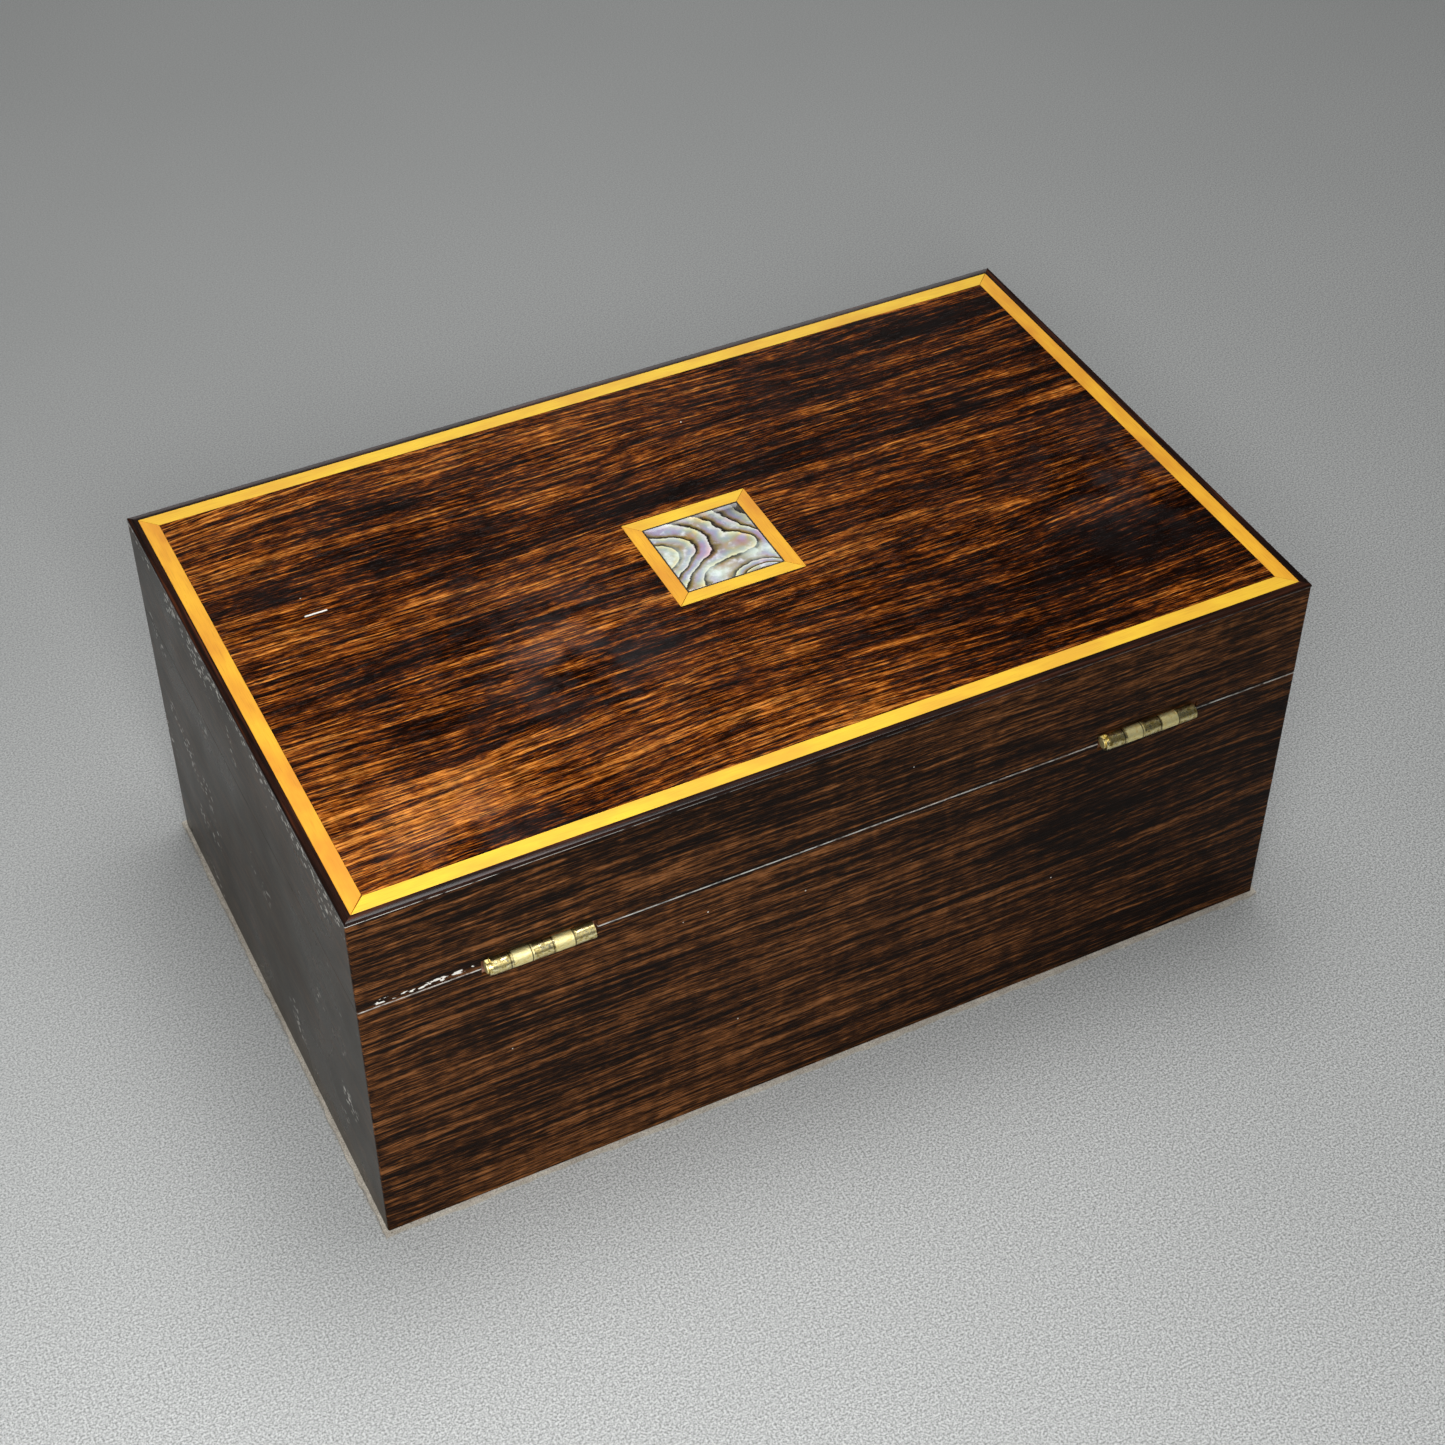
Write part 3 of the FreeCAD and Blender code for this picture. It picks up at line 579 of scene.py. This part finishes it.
def sharp_edges(shape, degrees):
    return [edge for edge in shape.edges
            if len(edge.link_faces) == 2 and edge.calc_face_angle(0.0) > math.radians(degrees)]


def eased_copy(node, finish, width):
    """A copy of a CAD piece with its edges eased, as a maker does with fine paper."""
    shape = bmesh.new()
    shape.from_mesh(NODES[node].data)
    bmesh.ops.remove_doubles(shape, verts=shape.verts, dist=2 * SAME_PLACE)
    bmesh.ops.dissolve_limit(shape, angle_limit=math.radians(0.5), verts=shape.verts, edges=shape.edges)
    soften(shape, sharp_edges(shape, 40), width)
    piece = place_piece(node + "_eased", shape, finish, node)
    piece.modifiers.new("even shading", "WEIGHTED_NORMAL").keep_sharp = True
    return piece


def prism(outline, low, high):
    """Solid on an outline of (x, y) points."""
    shape = bmesh.new()
    face = shape.faces.new([shape.verts.new((x, y, low)) for x, y in outline])
    raised = bmesh.ops.extrude_face_region(shape, geom=[face])["geom"]
    upper = [item for item in raised if isinstance(item, bmesh.types.BMVert)]
    bmesh.ops.translate(shape, verts=upper, vec=(0, 0, high - low))
    bmesh.ops.recalc_face_normals(shape, faces=shape.faces)
    return shape


def drawn_in(outline, gap):
    """A convex outline (counter-clockwise) with every side moved in by gap."""
    count = len(outline)
    moved = []
    for i in range(count):
        before, here, after = (Vector(outline[(i + k) % count]) for k in (-1, 0, 1))
        first, second = (here - before).normalized(), (after - here).normalized()
        inward = Vector((-first.y, first.x)) + Vector((-second.y, second.x))
        moved.append(tuple(here + inward * (gap / (1.0 + first.dot(second)))))
    return moved


def strip_outline(group, side):
    """The mitred outline of one strip of a frame, worked out from the frame's own boxes: two outer corners,
    counter-clockwise, and then the two inner ones."""
    boxes = {each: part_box(f"{group}_{each}") for each in SIDES}
    width = boxes["front"][1].y - boxes["front"][0].y
    if group == "crossband":
        x0, x1, y0, y1 = BASE_LOW.x, RIGHT_X, -BACK_Y, BACK_Y
    else:
        x0, x1 = boxes["left"][0].x, boxes["right"][1].x
        y0, y1 = boxes["front"][0].y, boxes["back"][1].y
    outer = [(x0, y0), (x1, y0), (x1, y1), (x0, y1)]
    inner = [(x0 + width, y0 + width), (x1 - width, y0 + width),
             (x1 - width, y1 - width), (x0 + width, y1 - width)]
    corner = SIDES.index(side)
    after = (corner + 1) % 4
    return [outer[corner], outer[after], inner[after], inner[corner]]


def top_edges(shape, height):
    return [edge for edge in shape.edges if all(abs(vert.co.z - height) < SAME_PLACE for vert in edge.verts)]


def inlay_strip(group, side, finish):
    """One flat strip of inlay with a glue line's gap round it and a faintly eased top. The right strip of the
    stringing is drawn back at its inner back corner, where the mitre has opened."""
    node = f"{group}_{side}"
    low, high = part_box(node)
    outline = drawn_in(strip_outline(group, side), GLUE_LINE)
    if node == "stringing_right":
        x, y = outline[2]
        outline[2] = (x, y - OPEN_MITRE)
    shape = prism(outline, low.z, high.z)
    soften(shape, top_edges(shape, high.z), 0.05 * MM, segments=1)
    return place_piece(node + "_inlaid", shape, finish, node)


def is_outermost(vert):
    """Whether it lies on one of the four walls' outer faces."""
    return min(abs(abs(vert.co.x) - RIGHT_X), abs(abs(vert.co.y) - BACK_Y)) < SAME_PLACE


def crossband_strip(side, finish):
    """Dark edge strip: its outer top edge is rounded over."""
    node = f"crossband_{side}"
    low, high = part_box(node)
    shape = prism(strip_outline("crossband", side), low.z, high.z)
    outer = [edge for edge in top_edges(shape, high.z) if all(is_outermost(vert) for vert in edge.verts)]
    soften(shape, outer, ARRIS, segments=4)
    return place_piece(node + "_rounded", shape, finish, node)


def shell_tile(finish):
    """The shell's face is ground flat but keeps a very slight swell and rounded edges."""
    shape = prism([(TILE_LOW.x, TILE_LOW.y), (TILE_HIGH.x, TILE_LOW.y), (TILE_HIGH.x, TILE_HIGH.y),
                   (TILE_LOW.x, TILE_HIGH.y)], TILE_LOW.z, TILE_HIGH.z - 0.05 * MM)
    upper = [face for face in shape.faces if face.normal.z > 0.9]
    soften(shape, [edge for face in upper for edge in face.edges], 0.12 * MM, segments=2)
    upper = [face for face in shape.faces if face.normal.z > 0.99]
    bmesh.ops.subdivide_edges(shape, edges=[edge for face in upper for edge in face.edges], cuts=12,
                              use_grid_fill=True)
    middle = (TILE_LOW + TILE_HIGH) / 2
    for vert in shape.verts:
        away = max(abs(vert.co.x - middle.x), abs(vert.co.y - middle.y)) / (TILE_HIGH.x - middle.x)
        if vert.co.z > middle.z and away < 0.97:
            vert.co.z += 0.04 * MM * math.cos(away * math.pi / 2)
    return place_piece("abalone_tile_ground", shape, finish, "abalone_tile")


def cloth_sheet(node, finish, rng, ragged=0.0, overhang=0.0):
    """A glued sheet of felt: an uneven surface and a cut edge that isn't quite straight."""
    low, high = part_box(node)
    width, length = high.x - low.x + 2 * overhang, high.y - low.y + 2 * overhang
    middle = (low + high) / 2
    shape = bmesh.new()
    bmesh.ops.create_grid(shape, x_segments=88, y_segments=54, size=0.5)
    bmesh.ops.scale(shape, verts=shape.verts, vec=(width, length, 1.0))
    bmesh.ops.translate(shape, verts=shape.verts, vec=(middle.x, middle.y, low.z))
    for vert in [vert for vert in shape.verts if vert.is_boundary]:
        vert.co.x += rng.uniform(-1, 1) * ragged
        vert.co.y += rng.uniform(-1, 1) * ragged
    raised = bmesh.ops.extrude_face_region(shape, geom=shape.faces[:])["geom"]
    upper = [item for item in raised if isinstance(item, bmesh.types.BMVert)]
    bmesh.ops.translate(shape, verts=upper, vec=(0, 0, high.z - low.z - 0.04 * MM))
    for vert in upper:
        vert.co.z -= rng.uniform(0, 1) * NAP_UNEVEN
    bmesh.ops.recalc_face_normals(shape, faces=shape.faces)
    sheet = place_piece(node + "_cloth", shape, finish, node)


def add_tuft(shape, start_of_run, run, outward, rng, spare_mesh):
    """Adds one run's fibres, which lean out of the cut edge. They go through a mesh of their own, because a
    large bmesh takes new cones slowly."""
    along = run.normalized()
    tuft = bmesh.new()
    for _ in range(FIBRES_A_TUFT):
        at = start_of_run + run * rng.random()
        start = at + Vector((0, 0, rng.uniform(0.45, 1.2) * MM))
        way = outward * rng.uniform(0.3, 1.0) + along * rng.uniform(-1.3, 1.3)
        way.z = rng.uniform(-0.12, 0.30)
        needle(tuft, start, way.normalized(), rng.uniform(0.5, 1.5) * MM, rng.uniform(0.05, 0.12) * MM)
    tuft.to_mesh(spare_mesh)
    tuft.free()
    shape.from_mesh(spare_mesh)


def needle(shape, start, way, length, radius):
    """One thin tapering fibre, with its root a little inside the cloth."""
    turn = Vector((0, 0, 1)).rotation_difference(way).to_matrix().to_4x4()
    middle = Matrix.Translation(start + way * (length / 2 - 0.2 * MM))
    bmesh.ops.create_cone(shape, segments=3, radius1=radius, radius2=radius * 0.3, depth=length,
                          cap_ends=True, matrix=middle @ turn)


def baize_fuzz(finish, rng):
    """Loose fibres that stand out of the cut edge of the baize, all round the foot of the box."""
    low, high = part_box("base_baize")
    out = BAIZE_OVERHANG - 0.2 * MM
    x0, x1, y0, y1 = low.x - out, high.x + out, low.y - out, high.y + out
    corners = [Vector((x, y, 0)) for x, y in ((x0, y0), (x1, y0), (x1, y1), (x0, y1))]
    shape = bmesh.new()
    spare_mesh = bpy.data.meshes.new("tuft")
    for number, corner in enumerate(corners):
        edge = corners[(number + 1) % 4] - corner
        outward = Vector((edge.y, -edge.x, 0)).normalized()
        tufts = int(edge.length / TUFT_PITCH)
        for tuft_number in range(tufts):
            add_tuft(shape, corner + edge * (tuft_number / tufts), edge / tufts, outward, rng, spare_mesh)
    bpy.data.meshes.remove(spare_mesh)
    fibres = shown_mesh("baize_edge_fibres", shape, finish)
    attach(fibres, BODY_OF["base_baize"])
    return fibres


# ---------------------------------------------------------------- the box

def dress_sides():
    """Rosewood veneers of the four walls, the lid's rails and the end panel."""
    back = side_veneer_finish("back_rosewood", "X", 3.0, mark=seam_highlight_and_polish_residue)
    front = side_veneer_finish("front_rosewood", "X", 5.0, painted_reflection_grey=0.08)
    right = side_veneer_finish("right_end_rosewood", "Y", 7.0, mark=arris_dust, painted_reflection_grey=0.65)
    left = side_veneer_finish("left_end_rosewood", "Y", 11.0, painted_reflection_grey=0.20)
    finishes = {"back": back, "front": front, "right": right, "left": left}
    for side, finish in finishes.items():
        eased_copy(f"lid_{side}_veneer", finish, VENEER_EASE)
        if side != "left":
            eased_copy(f"base_{side}_veneer", finish, VENEER_EASE)
    eased_copy("base_left_corner_veneer", left, SLIDING_EASE)
    for node in ("end_panel_veneer", "end_panel_top_rail", "end_panel_bottom_rail"):
        eased_copy(node, left, VENEER_EASE)


def dress_top():
    """The top's rosewood field, its stringing, crossbands and shell medallion."""
    NODES["top_field_veneer"].material_slots[0].material = top_veneer_finish()
    NODES["medallion_ebony_line"].material_slots[0].material = ebony_finish()
    yellow, gold = (0.93, 0.60, 0.045), (0.80, 0.43, 0.030)
    amber, orange = (0.90, 0.47, 0.035), (0.72, 0.29, 0.018)
    long_way = {True: (yellow, gold), False: (amber, orange)}
    for number, side in enumerate(SIDES):
        lengthwise = side in ("front", "back")
        axis = "X" if lengthwise else "Y"
        stringing = boxwood_finish(f"{side}_stringing_boxwood", axis, *long_way[lengthwise], number + 1.0)
        inlay_strip("stringing", side, stringing)
        frame_wood = boxwood_finish(f"{side}_medallion_boxwood", axis, *long_way[lengthwise], number + 6.0)
        inlay_strip("medallion_strip", side, frame_wood)
        crossband_strip(side, crossband_finish(f"{side}_dark_crossband", axis, number + 2.0))
    shell_tile(abalone_finish())


def dress_inside():
    """Plain wood of the walls, the bottom, the lid's board and the end panel's back."""
    lengthwise = carcass_finish("carcass_wood_lengthwise", "X")
    crosswise = carcass_finish("carcass_wood_crosswise", "Y")
    for group, ending in (("base", "wall"), ("lid", "rail")):
        for side in SIDES:
            node = f"{group}_{side}_{ending}"
            finish = lengthwise if side in ("front", "back") else crosswise
            eased_copy(node, finish, CARCASS_EASE)
    for node in ("base_bottom_panel", "lid_top_board"):
        NODES[node].material_slots[0].material = lengthwise
    eased_copy("end_panel_board", crosswise, SLIDING_EASE)
    peg_wood = boxwood_finish("peg_boxwood", "X", (0.7, 0.42, 0.1), (0.55, 0.3, 0.06), 9.0)
    eased_copy("end_panel_stop_peg", peg_wood, CARCASS_EASE)


def dress_brass():
    """Hinges, screws, hooks and lock bar."""
    polished = brass_finish("polished_brass", ((0.30, 0.22, 0.06), (0.78, 0.64, 0.26), (0.97, 0.88, 0.52)),
                            shine=(0.46, 0.24), scratched=0.7)
    satin = brass_finish("satin_brass", ((0.84, 0.67, 0.27), (0.95, 0.83, 0.40), (0.98, 0.89, 0.48)),
                         shine=(0.62, 0.52), scratched=0.2)
    for side in ("left", "right"):
        eased_copy(f"hinge_{side}_base_leaf", polished, LEAF_EASE)
        eased_copy(f"hinge_{side}_lid_leaf", satin, LEAF_EASE)
        eased_copy(f"hinge_{side}_pin", satin, PIN_EASE)
    for node in ("base_hinge_screws", "lid_hinge_screws", "lid_hook_front", "lid_hook_rear", "lock_bar"):
        eased_copy(node, polished, SMALL_BRASS_EASE)


def dress_cloth():
    """The baize under the foot with its loose fibres, and the two linings."""
    rng = random.Random(21)
    baize = felt_finish("beige_baize", (0.15, 0.12, 0.085), (0.80, 0.74, 0.63), 0.35)
    lining = felt_finish("brown_lining_felt", (0.060, 0.036, 0.024), (0.150, 0.100, 0.070), 0.25)
    fibres = baize_fuzz(baize, rng)
    cloth_sheet("base_baize", baize, rng, BAIZE_RAGGED, BAIZE_OVERHANG)
    cloth_sheet("floor_lining", lining, rng)
    cloth_sheet("lid_lining", lining, rng)


# ---------------------------------------------------------------- floor, light and camera

CAMERA_PLACE = (0.27096, 0.54929, 0.64001)
CAMERA_ELEVATION, CAMERA_AZIMUTH = 43.295, 153.418  # degrees
LENS, SENSOR = 65.68, 36.0                          # millimetres
FLOOR_HALF = 2.5                                    # metres
# Each softbox: place and aim in metres, length and width in metres, power in watts
SOFTBOXES = {
    "overhead_softbox": ((-0.12, -0.12, 1.22), (0.0, 0.0, 0.05), (0.60, 0.60), 9.8),
    "near_softbox": ((0.28, 0.565, 0.59), (0.52, 0.56, 0.05), (0.32, 0.32), 9.6),
    "front_softbox": ((-0.45, -1.55, 0.70), (0.0, -0.2, 0.05), (1.0, 0.6), 3.4),
}


def set_camera():
    data = bpy.data.cameras.new("camera")
    data.lens = LENS
    data.sensor_width = SENSOR
    data.clip_start = 0.01
    camera = bpy.data.objects.new("camera", data)
    camera.location = CAMERA_PLACE
    camera.rotation_euler = Euler((math.radians(90 - CAMERA_ELEVATION), 0.0, math.radians(CAMERA_AZIMUTH)))
    bpy.context.scene.collection.objects.link(camera)
    bpy.context.scene.camera = camera


def soft_light(name, place, aim, size, watts):
    data = bpy.data.lights.new(name, "AREA")
    data.shape = "RECTANGLE"
    data.size, data.size_y = size
    data.energy = watts
    lamp = bpy.data.objects.new(name, data)
    lamp.location = place
    lamp.rotation_euler = (Vector(aim) - Vector(place)).to_track_quat("-Z", "Y").to_euler()
    bpy.context.scene.collection.objects.link(lamp)


def set_light():
    for name, settings in SOFTBOXES.items():
        soft_light(name, *settings)
    world = bpy.data.worlds.new("studio")
    world.use_nodes = True
    background = world.node_tree.nodes["Background"]
    background.inputs["Color"].default_value = (0.95, 0.97, 1.0, 1.0)
    background.inputs["Strength"].default_value = 0.04
    bpy.context.scene.world = world
    bpy.context.scene.view_settings.view_transform = "Standard"


def set_floor():
    shape = bmesh.new()
    bmesh.ops.create_grid(shape, x_segments=2, y_segments=2, size=FLOOR_HALF)
    shown_mesh("floor", shape, paper_finish())


set_camera()
set_light()
set_floor()
dress_sides()
dress_top()
dress_inside()
dress_brass()
dress_cloth()
